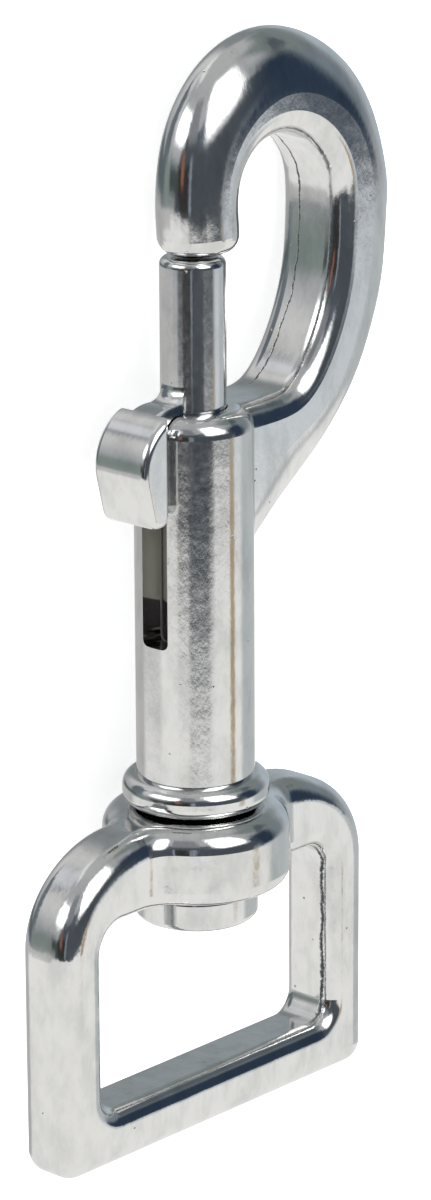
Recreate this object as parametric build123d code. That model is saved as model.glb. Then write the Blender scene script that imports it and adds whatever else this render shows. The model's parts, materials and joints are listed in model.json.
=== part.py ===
from build123d import *
import os
from math import cos, radians, sin, tan

# Swivel bolt snap with a strap eye, in nickel-plated die-cast zinc.
#
# The snap is modelled about its own long axis, which the bolt, the barrel and the swivel share:
# +Y runs along that axis towards the hook, X lies in the plane of the hook with the hook's back
# at +X and the thumb lever at -X, and Z is the thickness. Y = 0 is the underside of the collar.
# The last step lays the snap on its side on the ground, as it comes to rest when it is put down.
# All sizes are in millimetres, and angles in degrees.

# Running clearances
slide_clearance = 0.08
swivel_clearance = 0.08
end_play = 0.15
nose_gap = 0.12
lever_clearance = 0.12
spring_clearance = 0.15
tail_clearance = 0.1

# Barrel and collar
barrel_radius = 4.47
barrel_length = 30.6
rim_round = 1.5
collar_radius = 5.55
collar_height = 2.4
collar_round = 1.0
barrel_floor = 4.2
slot_width = 2.5
slot_length = 17.6
slot_end_round = 0.5

# Hook
hook_thickness = 6.66
nose_thickness = 5.8
back_corner = 1.72
nose_corner = 2.0
back_side_flat = 1.85
nose_side_flat = 0.3
hook_outer_round = 4.6
nose_outside = 2.73
nose_inside = 3.02
nose_edge_round = 1.4
gate_opening = 11.45
bight_width = 9.74
bight_rise = 7.96
bight_lean = 0.6
crown_width = 7.67
crown_lean = 1.1
back_width = 7.2
back_outer_start = 0.54
back_outer_radius = 23.15
back_inner_start = -0.07
back_inner_radius = 15.65
gusset_angle = 52.1
bight_floor_length = 7.36
bight_floor_lift = 0.25
crown_rest_angle = 70.0

# Bolt and thumb lever
bolt_radius = 2.45
bolt_tip_round = 0.6
bolt_tail_round = 0.3
spring_pocket_depth = 9.0
lever_rise = 0.8
lever_reach = 8.0
lever_crown_radius = 4.2
lever_drop = 8.4
lever_travel = 10.8
lever_root_round = 1.2
pad_width = 5.2
pad_thickness = 2.75
pad_lean = 14.0
pad_foot_round = 0.9
pad_tip_round = 0.75
pad_edge_round = 0.5

# Spring
spring_wire = 0.4
spring_radius = 1.55
spring_turns = 8
spring_wire_sides = 6

# Swivel eye
strap_gap = 25.3
strap_room = 14.9
eye_thickness = 5.3
eye_bar = 4.2
eye_foot_bar = 4.45
eye_shoulder_height = 7.9
eye_shoulder_start = 7.8
eye_corner_radius = 1.8
eye_inner_shoulder_radius = 2.2
eye_inner_corner_radius = 1.6
eye_outer_round = 1.8
eye_inner_round = 1.3
hub_radius = 7.1
hub_height = 6.1
hub_blend = 2.5

# Swivel rivet
rivet_head_radius = 4.65
rivet_head_height = 2.6
rivet_head_round = 0.5
rivet_shank_radius = 3.0
rivet_tenon_radius = 1.6
rivet_flare_radius = 2.1
rivet_flare_height = 0.7

# Steps in degrees between the hook's sections, and the number of sections along its gusset
crown_step = 30
back_step = 12
back_turn = 36
gusset_sections = 4

# How far a cut runs past the face that it opens, and how near two places count as one
overrun = 1.0
touching = 0.01

# Places along the axis that follow from the sizes
bore_radius = bolt_radius + slide_clearance
nose_end = barrel_length + gate_opening
bolt_tip = nose_end - nose_gap
slot_end = barrel_length - slot_length
lever_top = barrel_length + lever_rise
lever_foot = slot_end + lever_travel + lever_clearance
spring_seat = barrel_floor + rivet_flare_height
bolt_tail = spring_seat + tail_clearance + lever_travel
spring_top = bolt_tail + spring_pocket_depth
hub_top = -end_play
hub_bottom = hub_top - hub_height
rivet_head_top = hub_bottom - end_play
rivet_head_bottom = rivet_head_top - rivet_head_height
strap_bar_top = hub_bottom - strap_room
eye_bottom = strap_bar_top - eye_foot_bar

# Places across the snap
back_inside = nose_inside + bight_width
back_outside = back_inside + back_width
bight_radius = bight_width / 2
bight_centre_x = nose_inside + bight_radius
bight_centre_y = nose_end + bight_rise - bight_radius
eye_half_width = strap_gap / 2 + eye_bar
pad_inside = pad_thickness - lever_reach


def about_axis(radius, bottom, top):
    """A plain cylinder about the long axis, from one height to another."""
    height = top - bottom
    turned = Rot(X=-90) * Cylinder(radius, height, align=(Align.CENTER, Align.CENTER, Align.MIN))
    return Pos(0, bottom, 0) * turned


def rounded_disc(radius, bottom, top, top_round, bottom_round):
    """A disc about the long axis with its two rims rounded."""
    with BuildLine() as line:
        Polyline((0, top), (radius - top_round, top))
        JernArc((radius - top_round, top), (1, 0), top_round, -90)
        Line((radius, top - top_round), (radius, bottom + bottom_round))
        JernArc((radius, bottom + bottom_round), (0, -1), bottom_round, -90)
        Polyline((radius - bottom_round, bottom), (0, bottom), (0, top))
    return revolve(make_face(line.line), Axis.Y)


def hook_section(inner, outer, share):
    """The hook's section: flat inner face, small corners, short flat sides and a full round outside.

    The share runs from 0 for the slender sections at the nose to 1 for the stout ones at the back.
    """
    inner = Vector(*inner)
    outer = Vector(*outer)
    across = outer - inner
    plane = Plane(origin=inner, x_dir=across, z_dir=Vector(0, 0, 1).cross(across))
    half = between(nose_thickness, hook_thickness, share) / 2
    corner = between(nose_corner, back_corner, share)
    side_flat = between(nose_side_flat, back_side_flat, share)
    outer_round = min(across.length - corner - side_flat, hook_outer_round)
    crest = across.length - outer_round
    with BuildLine() as line:
        Line((0, half - corner), (0, corner - half))
        CenterArc((corner, corner - half), corner, 180, 90)
        Line((corner, -half), (crest, -half))
        EllipticalCenterArc((crest, 0), outer_round, half, -90, arc_size=180)
        Line((crest, half), (corner, half))
        CenterArc((corner, half - corner), corner, 90, 90)
    return plane * make_face(line.line)


def between(first, last, share):
    """The value that lies the given share of the way from the first to the last."""
    return first + share * (last - first)


def hook_sections():
    """Sections from the nose, round the crown, down the back and along the gusset to the barrel."""
    crown_centre_x = (back_outside - nose_outside) / 2
    crown_radius_x = (back_outside + nose_outside) / 2
    crown_radius_y = bight_radius + crown_width
    sections = [hook_section((nose_inside, nose_end), (-nose_outside, nose_end), 0)]
    for angle in range(180, -1, -crown_step):
        turn = radians(angle)
        inner_x = bight_centre_x + bight_radius * cos(turn) - bight_lean * sin(turn)
        inner_y = bight_centre_y + bight_radius * sin(turn)
        outer_x = crown_centre_x + crown_radius_x * cos(turn) - crown_lean * sin(turn)
        outer_y = bight_centre_y + crown_radius_y * sin(turn)
        share = (1 + cos(turn)) / 2
        sections.append(hook_section((inner_x, inner_y), (outer_x, outer_y), share))
    for angle in range(0, back_turn + 1, back_step):
        turn = radians(angle)
        inner_x = back_inside - back_inner_radius * (1 - cos(turn))
        inner_y = nose_end + back_inner_start - back_inner_radius * sin(turn)
        outer_x = back_outside - back_outer_radius * (1 - cos(turn))
        outer_y = nose_end + back_outer_start - back_outer_radius * sin(turn)
        sections.append(hook_section((inner_x, inner_y), (outer_x, outer_y), 1))
    turn = radians(gusset_angle)
    gusset_x = back_outside - back_outer_radius * (1 - cos(turn))
    gusset_y = nose_end + back_outer_start - back_outer_radius * sin(turn)
    for number in range(gusset_sections, -1, -1):
        reach = number / gusset_sections
        lift = bight_floor_lift if reach == 1 else 0
        inner = (reach * bight_floor_length, barrel_length + lift)
        outer = (reach * gusset_x, gusset_y - (1 - reach) * gusset_x / tan(turn))
        sections.append(hook_section(inner, outer, 1))
    return sections


def make_hook_body():
    """The main casting: hook, gusset, slotted barrel and collar."""
    hook = loft(hook_sections())
    tip = hook.edges().filter_by(lambda edge: abs(edge.center().Y - nose_end) < touching)
    hook = fillet(tip, nose_edge_round)
    barrel = about_axis(barrel_radius, 0, barrel_length)
    barrel = fillet(barrel.edges().group_by(Axis.Y)[-1], rim_round)
    collar = rounded_disc(collar_radius, 0, collar_height, collar_round, collar_round)
    body = hook + barrel + collar
    body -= about_axis(bore_radius, barrel_floor, barrel_length + gate_opening / 2)
    body -= about_axis(rivet_tenon_radius, -overrun, barrel_floor + overrun)
    slot_height = slot_length + gate_opening / 2
    slot = Box(2 * barrel_radius, slot_height, slot_width, align=(Align.MAX, Align.MIN, Align.CENTER))
    slot = fillet(slot.edges().filter_by(Axis.X).group_by(Axis.Y)[0], slot_end_round)
    return body - Pos(0, slot_end, 0) * slot


def lever_side():
    """The thumb lever seen from the side: level top, rounded crown and a face that leans inwards."""
    lean = radians(pad_lean)
    foot_y = lever_top - lever_drop
    crown_x = lever_crown_radius - lever_reach
    crown_y = lever_top - lever_crown_radius
    face_x = crown_x - lever_crown_radius * cos(lean)
    face_y = crown_y - lever_crown_radius * sin(lean)
    foot_x = face_x + (face_y - foot_y) * tan(lean)
    with BuildLine() as line:
        Line((0, lever_top), (crown_x, lever_top))
        CenterArc((crown_x, crown_y), lever_crown_radius, 90, 90 + pad_lean)
        Polyline((face_x, face_y), (foot_x, foot_y), (0, foot_y), (0, lever_top))
    return make_face(line.line)


def make_bolt():
    """The sliding bolt with its thumb lever, which are one casting."""
    shank = rounded_disc(bolt_radius, bolt_tail, bolt_tip, bolt_tip_round, bolt_tail_round)
    side = lever_side()
    tall = lever_drop + 2 * overrun
    pad_room = Rectangle(lever_reach, tall, align=(Align.MAX, Align.MAX))
    pad_side = side & Pos(pad_inside, lever_top + overrun) * pad_room
    foot = pad_side.vertices().group_by(Axis.Y)[0].sort_by(Axis.X)
    pad_side = fillet(foot[0], pad_tip_round)
    foot = pad_side.vertices().filter_by(lambda v: v.X > pad_inside - touching).sort_by(Axis.Y)
    pad_side = fillet(foot[0], pad_foot_round)
    pad = extrude(pad_side, pad_width / 2, both=True)
    sides = pad.edges().group_by(Axis.Z)
    pad = fillet(sides[0] + sides[-1], pad_edge_round)
    stem_room = Rectangle(lever_reach, tall, align=(Align.MIN, Align.MIN))
    stem_side = side & Pos(pad_inside - pad_edge_round, lever_foot) * stem_room
    stem = extrude(stem_side, slot_width / 2 - lever_clearance, both=True)
    bolt = shank + stem
    root = bolt.edges().filter_by(lambda edge: abs(edge.center().Y - lever_top) < touching)
    root = root.filter_by(GeomType.CIRCLE)
    bolt = fillet(root, lever_root_round) + pad
    pocket_radius = spring_radius + spring_wire / 2 + spring_clearance
    return bolt - about_axis(pocket_radius, bolt_tail - overrun, spring_top)


def make_spring():
    """The compression spring, seated on the rivet's flare and in the pocket of the bolt."""
    height = spring_top - spring_seat
    pitch = (height - spring_wire) / spring_turns
    helix = Helix(pitch, height - spring_wire, spring_radius)
    section = RegularPolygon(spring_wire / 2, spring_wire_sides)
    wire = Plane(origin=helix @ 0, z_dir=helix % 0) * section
    coil = sweep(wire, helix, is_frenet=True)
    return Pos(0, spring_seat + spring_wire / 2, 0) * Rot(X=-90) * coil


def eye_outline():
    """The swivel eye seen square on: hub and arms on top, sides, and the strap bar."""
    shoulder_y = hub_top - eye_shoulder_height
    shoulder_reach = eye_half_width - eye_shoulder_start
    corner_x = eye_half_width - eye_corner_radius
    corner_y = eye_bottom + eye_corner_radius
    with BuildLine() as line:
        Line((-eye_shoulder_start, hub_top), (eye_shoulder_start, hub_top))
        EllipticalCenterArc(
            (eye_shoulder_start, shoulder_y), shoulder_reach, eye_shoulder_height, 0, arc_size=90
        )
        Line((eye_half_width, shoulder_y), (eye_half_width, corner_y))
        CenterArc((corner_x, corner_y), eye_corner_radius, 0, -90)
        Line((corner_x, eye_bottom), (-corner_x, eye_bottom))
        CenterArc((-corner_x, corner_y), eye_corner_radius, 180, 90)
        Line((-eye_half_width, corner_y), (-eye_half_width, shoulder_y))
        EllipticalCenterArc(
            (-eye_shoulder_start, shoulder_y), shoulder_reach, eye_shoulder_height, 90, arc_size=90
        )
    return make_face(line.line)


def strap_window():
    """The opening for the strap, with larger corners under the shoulders."""
    window = Pos(0, (hub_bottom + strap_bar_top) / 2) * Rectangle(strap_gap, strap_room)
    corners = window.vertices().group_by(Axis.Y)
    window = fillet(corners[0], eye_inner_corner_radius)
    return fillet(window.vertices().group_by(Axis.Y)[-1], eye_inner_shoulder_radius)


def eye_plan():
    """The swivel eye seen along its axis: a round hub that flows into two straight arms."""
    plan = Circle(hub_radius) + Rectangle(2 * eye_half_width, eye_thickness)
    creases = plan.vertices().filter_by(lambda v: abs(v.X) < hub_radius)
    return fillet(creases, hub_blend)


def make_swivel_eye():
    """The strap eye casting: hub and square loop."""
    slab = extrude(eye_outline() - strap_window(), hub_radius + overrun, both=True)
    head = Pos(0, hub_bottom, 0) * Rot(X=-90) * extrude(eye_plan(), hub_height + overrun)
    hanging = (Align.CENTER, Align.MAX, Align.CENTER)
    loop = Box(2 * eye_half_width, hub_bottom - eye_bottom, eye_thickness, align=hanging)
    eye = slab & (head + Pos(0, hub_bottom, 0) * loop)
    outer_rim = eye.edges().filter_by(lambda edge: on_rim(edge) and not in_window(edge))
    eye = fillet(outer_rim, eye_outer_round)
    inner_rim = eye.edges().filter_by(lambda edge: on_rim(edge) and in_window(edge))
    eye = fillet(inner_rim, eye_inner_round)
    bore = rivet_shank_radius + swivel_clearance
    return eye - about_axis(bore, hub_bottom - overrun, hub_top + overrun)


def on_rim(edge):
    """True for an edge that runs along the outline of the eye, on its front or its back."""
    upright_at_hub = edge.center().Y > hub_bottom and abs(edge.tangent_at(0.5).Y) > 1 - touching
    return abs(edge.center().Z) > eye_thickness / 2 - touching and not upright_at_hub


def in_window(edge):
    """True for an edge that borders the strap opening."""
    place = edge.center()
    between_sides = abs(place.X) < strap_gap / 2 + touching
    return between_sides and strap_bar_top - touching < place.Y < hub_bottom + touching


def make_swivel_rivet():
    """The swivel pin: head under the hub, shank in it, and a tenon flared inside the barrel."""
    rim = rivet_head_round
    head = rounded_disc(rivet_head_radius, rivet_head_bottom, rivet_head_top, rim, rim)
    shank = about_axis(rivet_shank_radius, rivet_head_top, 0)
    tenon = about_axis(rivet_tenon_radius, 0, barrel_floor)
    flare = about_axis(rivet_flare_radius, barrel_floor, spring_seat)
    flare = fillet(flare.edges().group_by(Axis.Y)[-1], rivet_flare_height / 2)
    return head + shank + tenon + flare


def ground_plane():
    """The ground that the snap comes to rest on: it touches the rim of the hub and the crown."""
    crown_turn = radians(crown_rest_angle)
    crown_x = bight_centre_x + (bight_radius + crown_width / 2) * cos(crown_turn)
    crown_y = bight_centre_y + (bight_radius + crown_width / 2) * sin(crown_turn)
    crown_z = -between(nose_thickness, hook_thickness, (1 + cos(crown_turn)) / 2) / 2
    at_hub = Vector(0, hub_top - eye_outer_round, -hub_radius)
    at_crown = Vector(crown_x, crown_y, crown_z)
    upward = Vector(1, 0, 0).cross(at_crown - at_hub)
    return Plane(origin=at_hub, x_dir=(1, 0, 0), z_dir=upward)


def laid_down(shapes):
    """The shapes on the ground, with the origin under the middle of their common box."""
    ground = ground_plane()
    lying = [ground.to_local_coords(shape) for shape in shapes]
    boxes = [shape.bounding_box() for shape in lying]
    middle_x = (min(box.min.X for box in boxes) + max(box.max.X for box in boxes)) / 2
    middle_y = (min(box.min.Y for box in boxes) + max(box.max.Y for box in boxes)) / 2
    lowest = min(box.min.Z for box in boxes)
    return [Pos(-middle_x, -middle_y, -lowest) * shape for shape in lying]


names = ["hook_body", "bolt", "bolt_spring", "swivel_eye", "swivel_rivet"]
upright = [make_hook_body(), make_bolt(), make_spring(), make_swivel_eye(), make_swivel_rivet()]
os.makedirs("parts", exist_ok=True)
for name, piece in zip(names, laid_down(upright)):
    export_step(piece, "parts/" + name + ".step")
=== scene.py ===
import json
import math

import bpy
from mathutils import Matrix, Vector


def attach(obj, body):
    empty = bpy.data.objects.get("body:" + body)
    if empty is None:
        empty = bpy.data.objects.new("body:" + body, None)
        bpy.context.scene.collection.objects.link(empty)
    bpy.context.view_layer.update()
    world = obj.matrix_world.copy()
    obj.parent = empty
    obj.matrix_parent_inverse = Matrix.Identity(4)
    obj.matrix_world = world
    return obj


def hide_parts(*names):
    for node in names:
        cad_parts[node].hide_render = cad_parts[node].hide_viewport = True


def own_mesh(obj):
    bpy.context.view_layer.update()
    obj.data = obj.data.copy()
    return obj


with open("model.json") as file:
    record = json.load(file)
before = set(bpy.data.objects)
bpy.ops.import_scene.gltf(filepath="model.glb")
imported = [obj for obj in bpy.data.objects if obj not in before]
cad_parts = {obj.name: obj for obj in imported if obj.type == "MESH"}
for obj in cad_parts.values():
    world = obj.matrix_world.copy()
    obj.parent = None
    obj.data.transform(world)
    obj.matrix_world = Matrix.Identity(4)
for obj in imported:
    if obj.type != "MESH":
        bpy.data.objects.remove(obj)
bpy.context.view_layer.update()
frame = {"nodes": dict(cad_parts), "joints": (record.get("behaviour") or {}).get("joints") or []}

# The snap lies on the ground. Its own axes, in the frame of the row, come from its joints:
# along runs up the snap towards the hook, across lies in the plane of the hook, towards the
# hook's back, and through is the thickness.
MM = 0.001
joints = {joint["name"]: joint for joint in frame["joints"]}
slide = joints["bolt_slide"]
swivel = joints["eye_swivel"]
along = -Vector(slide["axis"]).normalized()
across = Vector((-along.z, 0, along.x)).normalized()
through = across.cross(along)
swivel_depth = 3.2 * MM
collar_foot = Vector(swivel["pos_m"]) + swivel_depth * along


def at(x, y, z):
    """A point given in millimetres along the snap's own axes, from the underside of the collar."""
    return collar_foot + MM * (x * across + y * along + z * through)


# Sizes of the snap that its finish and its spring follow, in millimetres
barrel_radius = 4.47
barrel_length = 30.6
bore_radius = 2.53
slot_end = 13.0
spring_seat = 4.9
spring_top = 24.8
spring_radius = 1.55
spring_wire = 0.4
spring_turns = 8
spring_end_turns = 1.0
skirt_top = 30.0
bight_centre = (7.9, 42.0, 0)
strap_centre = (0, -13.7, 0)


# Camera: seen from the hook's open side, a little from above along the snap
picture_height = 1200
focal_pixels = 4783.9
camera_distance = 355.5 * MM
camera_turn = math.radians(47.35)
camera_rise = math.radians(17.25)
camera_roll = math.radians(-0.30)
camera_shift = (-1.54 * MM, -0.68 * MM)
aim = at(0, 15, 0)


def make_camera():
    """The camera that saw the snap upright: its picture's upper edge points along the snap."""
    back = math.sin(camera_rise) * along
    back += math.cos(camera_rise) * (math.cos(camera_turn) * through - math.sin(camera_turn) * across)
    level = along.cross(back).normalized()
    up = back.cross(level)
    right = math.cos(camera_roll) * level + math.sin(camera_roll) * up
    up = math.cos(camera_roll) * up - math.sin(camera_roll) * level
    data = bpy.data.cameras.new("camera")
    data.lens = focal_pixels / picture_height * data.sensor_width
    data.clip_start = 0.01
    camera = bpy.data.objects.new("camera", data)
    bpy.context.scene.collection.objects.link(camera)
    place = aim + camera_distance * back - camera_shift[0] * right - camera_shift[1] * up
    turned = Matrix((right, up, back)).transposed().to_4x4()
    camera.matrix_world = Matrix.Translation(place) @ turned
    bpy.context.scene.camera = camera


def node(tree, kind, inputs=None, **settings):
    """Adds a node, sets it up and links or sets its inputs by name or number."""
    made = tree.nodes.new(kind)
    for name, value in settings.items():
        setattr(made, name, value)
    for key, value in (inputs or {}).items():
        if isinstance(value, bpy.types.NodeSocket):
            tree.links.new(value, made.inputs[key])
        else:
            made.inputs[key].default_value = value
    return made


def calc(tree, operation, *values):
    """The result of a maths node."""
    inputs = dict(enumerate(values))
    return node(tree, "ShaderNodeMath", inputs, operation=operation).outputs[0]


def part_along(tree, vector, axis):
    """How far a vector reaches along an axis."""
    made = node(tree, "ShaderNodeVectorMath", {0: vector, 1: axis}, operation="DOT_PRODUCT")
    return made.outputs["Value"]


def ease(tree, value, low, high):
    """0 below low, 1 above high and a smooth step between them, or falling if low is the larger."""
    inputs = {"Value": value, "From Min": low, "From Max": high}
    return node(tree, "ShaderNodeMapRange", inputs, interpolation_type="SMOOTHSTEP").outputs["Result"]


def blend_colours(tree, share, first, second):
    """A mix of two colours."""
    made = node(tree, "ShaderNodeMix", {0: share}, data_type="RGBA")
    for socket, colour in ((made.inputs[6], first), (made.inputs[7], second)):
        if isinstance(colour, bpy.types.NodeSocket):
            tree.links.new(colour, socket)
        else:
            socket.default_value = (*colour, 1)
    return made.outputs[2]


nickel = (0.73, 0.735, 0.74)

# The studio that the metal mirrors, in degrees round the snap's long axis. Azimuth 0 is towards
# the camera's place and 90 to its right, and elevation is measured towards the hook. The studio
# stays where it is when another view is taken. Only mirrored light sees it. It was set to give
# the snap the lights and darks that it has in its photograph. Each field has its middle, its
# half size, the softness of its edges, how far it leans to the side with height, and its colour
# as the nickel shows it, or its strength if it is a lamp.
studio_base = (0.62, 0.63, 0.64)
studio_fields = [
    # left wall, the far left behind the snap, and the doorway with the shelf above it
    ((-135, 43), (42, 24), (10, 10), -1.0, (0.74, 0.74, 0.74)),
    ((-174, 32), (19, 33), (12, 10), 0, (0.48, 0.50, 0.51)),
    ((-108, 16), (14, 29), (4, 8), -0.3, (0.38, 0.41, 0.44)),
    ((-114, 45), (11, 5), (6, 3), 0, (0.76, 0.77, 0.79)),
    ((-127, -4), (24, 6), (8, 4), 0, (0.33, 0.37, 0.38)),
    ((-110, 68), (30, 9), (10, 6), 0, (0.90, 0.90, 0.91)),
    # right wall, nearer and further, its dim upper part and a shelf
    ((158, 9), (21, 25), (9, 9), 0, (0.62, 0.66, 0.69)),
    ((113, 18), (23, 25), (12, 7), 0.4, (0.42, 0.46, 0.49)),
    ((130, 45), (42, 20), (11, 10), -0.6, (0.44, 0.47, 0.47)),
    ((115, 43.5), (12, 7), (2, 4), 1, (0.31, 0.34, 0.37)),
    # ceiling
    ((5, 90), (180, 24), (1, 6), 0, (0.64, 0.65, 0.65)),
    # dark room behind the camera, with what stands in it
    ((20, 5), (64, 21), (6, 3), 0.5, (0.26, 0.285, 0.31)),
    ((-55, -1), (25, 8), (5, 6), 0, (0.25, 0.28, 0.28)),
    ((-86, -3), (13, 9), (5, 6), -0.3, (0.46, 0.50, 0.49)),
    ((-20, -6), (19, 13), (6, 2), -0.3, (0.18, 0.18, 0.18)),
    ((-4, -6), (3, 16), (2.5, 4), 0, (0.50, 0.54, 0.58)),
    ((-28, 6), (4.5, 9), (3, 4), -0.2, (0.50, 0.34, 0.28)),
    ((18, 21), (8, 8), (6, 6), 0.2, (0.33, 0.37, 0.41)),
    # navy curtain at the right
    ((93, 10), (15, 25), (8, 9), -0.15, (0.15, 0.20, 0.265)),
    # wall between the lamps, then the main lamp and the left one
    ((-13, 36), (13, 16), (2, 6), -0.35, (0.47, 0.48, 0.50)),
    ((41, 36), (19, 18), (8, 10), -0.25, (5.0, 5.0, 5.0)),
    ((-55, 31), (22, 9), (8, 7), 0, (4.0, 4.0, 4.0)),
    # table top, whose edge lies nearer at the sides
    ((0, -90), (180, 74.4), (1, 0.8), 0, (0.85, 0.85, 0.845)),
    ((-112, -15.5), (42, 3), (6, 1.5), 0, (0.69, 0.69, 0.69)),
    ((-145, -20), (28, 8), (8, 4), 0, (0.66, 0.66, 0.66)),
    ((98, -14.1), (18, 2.05), (7, 0.5), 0, (0.73, 0.755, 0.775)),
    ((132, -18), (30, 6.5), (7, 2.5), 0, (0.66, 0.68, 0.69)),
    # the camera's own stand, in front of the table
    ((3, -15.6), (35, 1.3), (4, 0.7), 0, (0.16, 0.18, 0.21)),
    ((10, -17.2), (20, 1.0), (5, 0.7), 0, (0.22, 0.25, 0.28)),
    # warm strip at the right
    ((77.6, -17.6), (5.2, 2.6), (1.5, 1.2), 0, (0.62, 0.55, 0.43)),
]


def light_of(seen):
    """The light that the nickel shows as a colour in the picture. A lamp's strength stays as it is."""
    if max(seen) > 1:
        return tuple(seen)
    linear = [value / 12.92 if value <= 0.04045 else ((value + 0.055) / 1.055) ** 2.4 for value in seen]
    return tuple(value / metal for value, metal in zip(linear, nickel))


def studio_picture(tree, direction):
    """The colour of the studio in a direction, from soft-edged fields laid over each other."""
    front = math.cos(camera_turn) * through - math.sin(camera_turn) * across
    side = along.cross(front)
    elevation = calc(tree, "ARCSINE", part_along(tree, direction, along))
    elevation = calc(tree, "DEGREES", elevation)
    forward = part_along(tree, direction, front)
    azimuth = calc(tree, "ARCTAN2", part_along(tree, direction, side), forward)
    azimuth = calc(tree, "DEGREES", azimuth)
    colour = light_of(studio_base)
    for middle, half, soft, lean, seen in studio_fields:
        above = calc(tree, "SUBTRACT", elevation, middle[1])
        off_side = calc(tree, "SUBTRACT", azimuth, middle[0])
        if lean:
            off_side = calc(tree, "SUBTRACT", off_side, calc(tree, "MULTIPLY", above, lean))
        off_side = calc(tree, "ABSOLUTE", calc(tree, "WRAP", off_side, 180, -180))
        off_height = calc(tree, "ABSOLUTE", above)
        in_side = ease(tree, off_side, half[0] + soft[0], half[0] - soft[0])
        in_height = ease(tree, off_height, half[1] + soft[1], half[1] - soft[1])
        share = calc(tree, "MULTIPLY", in_side, in_height)
        colour = blend_colours(tree, share, colour, light_of(seen))
    return colour


daylight_level = 0.62
backdrop_level = 1.0


def make_world():
    """White for the camera, the studio for what the metal reflects, and a plain level otherwise."""
    world = bpy.data.worlds.new("studio")
    world.use_nodes = True
    bpy.context.scene.world = world
    tree = world.node_tree
    tree.nodes.clear()
    direction = node(tree, "ShaderNodeTexCoord").outputs["Generated"]
    rays = node(tree, "ShaderNodeLightPath").outputs
    reflected = calc(tree, "MAXIMUM", rays["Is Glossy Ray"], rays["Is Transmission Ray"])
    picture = studio_picture(tree, direction)
    level = (daylight_level,) * 3
    colour = blend_colours(tree, reflected, level, picture)
    colour = blend_colours(tree, rays["Is Camera Ray"], colour, (backdrop_level,) * 3)
    light = node(tree, "ShaderNodeBackground", {"Color": colour, "Strength": 1})
    output = node(tree, "ShaderNodeOutputWorld")
    tree.links.new(light.outputs[0], output.inputs["Surface"])


def make_lamp(name, azimuth, elevation, distance, size, power):
    """A square soft box that lights the snap and the floor. The studio's picture holds its glare."""
    data = bpy.data.lights.new(name, "AREA")
    data.shape = "SQUARE"
    data.size = size
    data.energy = power
    lamp = bpy.data.objects.new(name, data)
    lamp.visible_glossy = False
    turn, rise = math.radians(azimuth), math.radians(elevation)
    away = Vector((math.sin(turn) * math.cos(rise), -math.cos(turn) * math.cos(rise), math.sin(rise)))
    lamp.location = distance * away
    lamp.rotation_mode = "QUATERNION"
    lamp.rotation_quaternion = away.to_track_quat("Z", "Y")
    bpy.context.scene.collection.objects.link(lamp)


floor_half = 1.5
floor_colour = (0.90, 0.90, 0.90)
floor_lift = 0.62


def make_floor():
    """A pale floor that renders white and keeps the snap's shadow. The metal reflects the studio."""
    mesh = bpy.data.meshes.new("floor")
    corners = [(-1, -1), (1, -1), (1, 1), (-1, 1)]
    mesh.from_pydata([(floor_half * x, floor_half * y, 0) for x, y in corners], [], [(0, 1, 2, 3)])
    floor = bpy.data.objects.new("floor", mesh)
    bpy.context.scene.collection.objects.link(floor)
    floor.visible_glossy = False
    material = bpy.data.materials.new("floor")
    material.use_nodes = True
    tree = material.node_tree
    tree.nodes.clear()
    rays = node(tree, "ShaderNodeLightPath").outputs
    seen = calc(tree, "MAXIMUM", rays["Is Camera Ray"], rays["Is Glossy Ray"])
    seen = calc(tree, "MAXIMUM", seen, rays["Is Transmission Ray"])
    matt = node(tree, "ShaderNodeBsdfDiffuse", {"Color": (*floor_colour, 1)})
    strength = calc(tree, "MULTIPLY", seen, floor_lift)
    glow = node(tree, "ShaderNodeEmission", {"Color": (1, 1, 1, 1), "Strength": strength})
    both = node(tree, "ShaderNodeAddShader", {0: matt.outputs[0], 1: glow.outputs[0]})
    output = node(tree, "ShaderNodeOutputMaterial")
    tree.links.new(both.outputs[0], output.inputs["Surface"])
    mesh.materials.append(material)


def snap_axes(tree):
    """The surface's own place along the snap's axes, in millimetres."""
    place = node(tree, "ShaderNodeTexCoord").outputs["Object"]
    centred = node(tree, "ShaderNodeVectorMath", {0: place, 1: collar_foot}, operation="SUBTRACT")
    scaled = node(tree, "ShaderNodeVectorMath", {0: centred.outputs[0], "Scale": 1 / MM}, operation="SCALE")
    vector = scaled.outputs[0]
    return vector, [part_along(tree, vector, axis) for axis in (across, along, through)]


def noise(tree, vector, scale, detail=2.0, roughness=0.5):
    """A noise value at a scale given as features to the millimetre."""
    inputs = {"Vector": vector, "Scale": scale, "Detail": detail, "Roughness": roughness}
    return node(tree, "ShaderNodeTexNoise", inputs).outputs["Fac"]


def stretched(tree, vector, by):
    """A place with its measure along the snap made shorter, so that marks come out longer."""
    extra = calc(tree, "MULTIPLY", part_along(tree, vector, along), by - 1)
    shift = node(tree, "ShaderNodeVectorMath", {0: along, "Scale": extra}, operation="SCALE")
    return node(tree, "ShaderNodeVectorMath", {0: vector, 1: shift.outputs[0]}, operation="ADD").outputs[0]


def pits(tree, vector, density, radius, share):
    """Sparse round pits: 1 in their middle. The radius is in millimetres, the density to the millimetre."""
    cells = node(tree, "ShaderNodeTexVoronoi", {"Vector": vector, "Scale": density}).outputs
    chosen = ease(tree, part_along(tree, cells["Color"], (1, 0, 0)), 1 - share - 0.02, 1 - share)
    ragged = calc(tree, "MULTIPLY", noise(tree, vector, 6.0), 0.7 * density * radius)
    near = calc(tree, "ADD", cells["Distance"], ragged)
    return calc(tree, "MULTIPLY", chosen, ease(tree, near, 1.3 * density * radius, 0.5 * density * radius))


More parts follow.
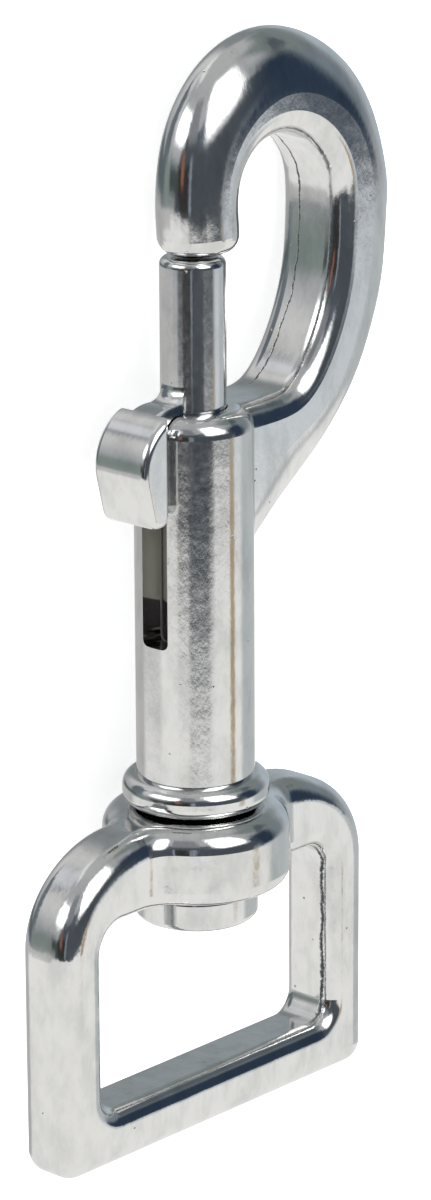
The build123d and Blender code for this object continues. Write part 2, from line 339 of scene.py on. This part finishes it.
def facing(tree, centre):
    """How squarely the surface faces a line through the snap's thickness, past a centre in its plane."""
    coordinates = node(tree, "ShaderNodeTexCoord").outputs
    inward = node(tree, "ShaderNodeVectorMath", {0: centre, 1: coordinates["Object"]}, operation="SUBTRACT")
    depth = part_along(tree, inward.outputs[0], through)
    aside = node(tree, "ShaderNodeVectorMath", {0: through, "Scale": depth}, operation="SCALE")
    parts = {0: inward.outputs[0], 1: aside.outputs[0]}
    flat = node(tree, "ShaderNodeVectorMath", parts, operation="SUBTRACT")
    unit = node(tree, "ShaderNodeVectorMath", {0: flat.outputs[0]}, operation="NORMALIZE").outputs[0]
    return part_along(tree, unit, coordinates["Normal"])


def casting_seam(tree, vector, z, depth, width, centre):
    """The ragged seam that the die leaves round the inside of an opening, at one depth."""
    wander = calc(tree, "MULTIPLY", calc(tree, "SUBTRACT", noise(tree, vector, 0.45, 3.0), 0.5), 0.9)
    off = calc(tree, "ABSOLUTE", calc(tree, "ADD", calc(tree, "SUBTRACT", z, depth), wander))
    ragged = calc(tree, "MULTIPLY", noise(tree, vector, 3.5, 3.0, 0.7), 2.2 * width)
    line = ease(tree, calc(tree, "ADD", off, calc(tree, "SUBTRACT", ragged, width)), width, 0.3 * width)
    return calc(tree, "MULTIPLY", line, ease(tree, facing(tree, centre), 0.3, 0.6))


def hook_marks(tree, vector, x, y, z):
    """The hook's own marks: a die seam in its bight, and the bore inside the barrel, duller and given a
    darker grey as painted shade.
    """
    seam = casting_seam(tree, vector, z, -1.0, 0.10, at(*bight_centre))
    seam = calc(tree, "MULTIPLY", seam, ease(tree, y, barrel_length, barrel_length + 0.5))
    off_axis = calc(tree, "SQRT", calc(tree, "ADD", calc(tree, "POWER", x, 2), calc(tree, "POWER", z, 2)))
    # Painted shade: the inside of the bore gets a darker, less metallic grey for the shade inside the
    # barrel.
    painted_inside_shade = ease(tree, off_axis, bore_radius + 0.25, bore_radius + 0.1)
    painted_inside_shade = calc(tree, "MULTIPLY", painted_inside_shade, ease(tree, y, barrel_length, barrel_length - 0.3))
    return seam, painted_inside_shade


def bolt_marks(tree, vector, x, y, z):
    """The bolt's own marks: its skirt, which runs inside the barrel, is worn dull and given a darker colour
    as painted shade.
    """
    off_axis = calc(tree, "SQRT", calc(tree, "ADD", calc(tree, "POWER", x, 2), calc(tree, "POWER", z, 2)))
    # Painted shade: the skirt inside the barrel gets a darker colour for the shade there; its extra
    # roughness is wear.
    skirt = ease(tree, off_axis, bore_radius + 0.2, bore_radius)
    return 0.0, calc(tree, "MULTIPLY", skirt, ease(tree, y, skirt_top, skirt_top - 2.0))


def eye_marks(tree, vector, x, y, z):
    """The eye's own marks: a pitted die seam down one inner side of the strap opening."""
    seam = casting_seam(tree, vector, z, 1.5, 0.22, at(*strap_centre))
    return calc(tree, "MULTIPLY", seam, ease(tree, x, 10.5, 12.3)), 0.0


def no_marks(tree, vector, x, y, z):
    """Nothing beyond the finish itself."""
    return 0.0, 0.0


# The plating's detail. Lengths are in millimetres, and a density is in marks to the millimetre.
pit_density = 0.55
pit_radius = 0.13
pit_share = 0.40
pit_depth = 0.030
seam_depth = 0.045
clean_nickel = (0.77, 0.77, 0.765)
tarnished_nickel = (0.64, 0.645, 0.64)
stain_colour = (0.56, 0.52, 0.42)
pit_colour = (0.13, 0.14, 0.15)
smoothest = 0.06
roughest = 0.15
added_roughness = 0.45
inside_dullness = 0.6


def make_plating(name, marks, waviness, grain_height, inside_shade_colour):
    """Bright nickel over a die casting: soft waves, fine grain, pits, streaks and a faint tarnish, with a
    darker colour painted as shade where the marks show the inside of the barrel.
    """
    material = bpy.data.materials.new(name)
    material.use_nodes = True
    tree = material.node_tree
    shader = tree.nodes["Principled BSDF"]
    vector, (x, y, z) = snap_axes(tree)
    drawn = stretched(tree, vector, 0.45)
    waves = noise(tree, vector, 0.45, 1.0)
    grain = noise(tree, drawn, 3.2, 3.0, 0.62)
    small_pits = pits(tree, vector, pit_density, pit_radius, pit_share)
    seam, painted_inside_shade = marks(tree, vector, x, y, z)
    pit_hollow = calc(tree, "MULTIPLY", small_pits, pit_depth)
    hollow = calc(tree, "ADD", pit_hollow, calc(tree, "MULTIPLY", seam, seam_depth))
    wave_height = calc(tree, "MULTIPLY", waves, waviness)
    height = calc(tree, "ADD", wave_height, calc(tree, "MULTIPLY", grain, grain_height))
    height = calc(tree, "SUBTRACT", height, hollow)
    bump = node(tree, "ShaderNodeBump", {"Height": height, "Strength": 1.0, "Distance": MM})
    tarnish = ease(tree, noise(tree, drawn, 0.5, 4.0, 0.6), 0.38, 0.72)
    colour = blend_colours(tree, tarnish, clean_nickel, tarnished_nickel)
    stain = ease(tree, noise(tree, drawn, 0.35, 3.0, 0.7), 0.66, 0.74)
    colour = blend_colours(tree, calc(tree, "MULTIPLY", stain, 0.5), colour, stain_colour)
    marked = calc(tree, "MAXIMUM", calc(tree, "MULTIPLY", small_pits, 0.6), seam)
    colour = blend_colours(tree, marked, colour, pit_colour)
    # Painted shade: where the marks show the inside of the barrel, the colour turns to a darker shade
    # colour and the metal less metallic.
    colour = blend_colours(tree, painted_inside_shade, colour, inside_shade_colour)
    tree.links.new(colour, shader.inputs["Base Color"])
    tree.links.new(bump.outputs[0], shader.inputs["Normal"])
    shine_range = {"Value": grain, "To Min": smoothest, "To Max": roughest}
    shine = node(tree, "ShaderNodeMapRange", shine_range).outputs[0]
    dull = calc(tree, "MULTIPLY", calc(tree, "MAXIMUM", marked, painted_inside_shade), added_roughness)
    tree.links.new(calc(tree, "ADD", shine, dull), shader.inputs["Roughness"])
    shader.inputs["Metallic"].default_value = 1.0
    if isinstance(painted_inside_shade, bpy.types.NodeSocket):
        dull_share = calc(tree, "MULTIPLY", painted_inside_shade, inside_dullness)
        tree.links.new(calc(tree, "SUBTRACT", 1, dull_share), shader.inputs["Metallic"])
    return material


def make_spring_steel():
    """Drawn steel wire, coloured dark as painted shade for where it sits inside the barrel, with random
    streaks.
    """
    material = bpy.data.materials.new("spring_steel")
    material.use_nodes = True
    tree = material.node_tree
    shader = tree.nodes["Principled BSDF"]
    vector, _ = snap_axes(tree)
    streaks = noise(tree, vector, 3.0, 2.0)
    # Painted shade: the wire's dark colour stands for the shade inside the barrel.
    colour = blend_colours(tree, streaks, (0.20, 0.19, 0.17), (0.32, 0.31, 0.29))
    tree.links.new(colour, shader.inputs["Base Color"])
    roughness = node(tree, "ShaderNodeMapRange", {"Value": streaks, "To Min": 0.28, "To Max": 0.45})
    tree.links.new(roughness.outputs[0], shader.inputs["Roughness"])
    shader.inputs["Metallic"].default_value = 1.0
    return material


def dress(name, material):
    """Gives a node of the frame its finish."""
    piece = frame["nodes"][name]
    piece.data.materials.clear()
    piece.data.materials.append(material)


turn_steps = 28
wire_sides = 10


def spring_centre(share):
    """The middle of the wire, from the seat (0) to the bolt's pocket (1), with closed end turns."""
    free_turns = spring_turns - 2 * spring_end_turns
    turns = share * spring_turns
    in_ends = min(turns, spring_end_turns) + max(0, turns - spring_turns + spring_end_turns)
    in_middle = turns - in_ends
    free_height = spring_top - spring_seat - spring_wire * (1 + 2 * spring_end_turns)
    height = spring_wire * in_ends + free_height * in_middle / free_turns
    angle = math.tau * turns
    y = spring_seat + spring_wire / 2 + height
    return Vector((spring_radius * math.cos(angle), y, spring_radius * math.sin(angle)))


def make_spring():
    """The compression spring as round wire, built as it stands at rest; the real one is squeezed as the
    bolt is drawn back.
    """
    steps = spring_turns * turn_steps
    vertices, faces = [], []
    for step in range(steps + 1):
        middle = spring_centre(step / steps)
        outward = Vector((middle.x, 0, middle.z)).normalized()
        ahead = spring_centre(min(1, (step + 1) / steps)) - spring_centre(max(0, (step - 1) / steps))
        upward = ahead.cross(outward).normalized()
        for side in range(wire_sides):
            angle = math.tau * side / wire_sides
            ring = spring_wire / 2 * (math.cos(angle) * outward + math.sin(angle) * upward)
            vertices.append(at(*(middle + ring)))
    for step in range(steps):
        for side in range(wire_sides):
            low, high = step * wire_sides, (step + 1) * wire_sides
            after = (side + 1) % wire_sides
            faces.append((low + side, low + after, high + after, high + side))
    faces.append(tuple(range(wire_sides)))
    faces.append(tuple(reversed(range(steps * wire_sides, (steps + 1) * wire_sides))))
    mesh = bpy.data.meshes.new("spring_coil")
    mesh.from_pydata(vertices, [], faces)
    mesh.validate()
    mesh.update()
    mesh.shade_smooth()
    spring = bpy.data.objects.new("spring_coil", mesh)
    bpy.context.scene.collection.objects.link(spring)
    mesh.materials.append(make_spring_steel())
    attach(spring, "snap")
    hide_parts("bolt_spring")
    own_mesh(spring)


bpy.context.scene.view_settings.view_transform = "Standard"
make_camera()
make_world()
make_floor()
make_lamp("key_lamp", azimuth=20, elevation=62, distance=0.9, size=0.8, power=9)
# Painted shade colours for the inside of the barrel: the hook's bore and the bolt's skirt.
bore_shade_grey = (0.55, 0.53, 0.54)
shaded_zinc = (0.37, 0.37, 0.31)
finishes = (
    ("hook_body", hook_marks, 0.010, 0.0060, bore_shade_grey),
    ("bolt", bolt_marks, 0.008, 0.0040, shaded_zinc),
    ("swivel_eye", eye_marks, 0.034, 0.0070, shaded_zinc),
    ("swivel_rivet", no_marks, 0.010, 0.0040, shaded_zinc),
)
for name, marks, waviness, grain_height, inside_shade_colour in finishes:
    dress(name, make_plating(name + "_plating", marks, waviness, grain_height, inside_shade_colour))
make_spring()
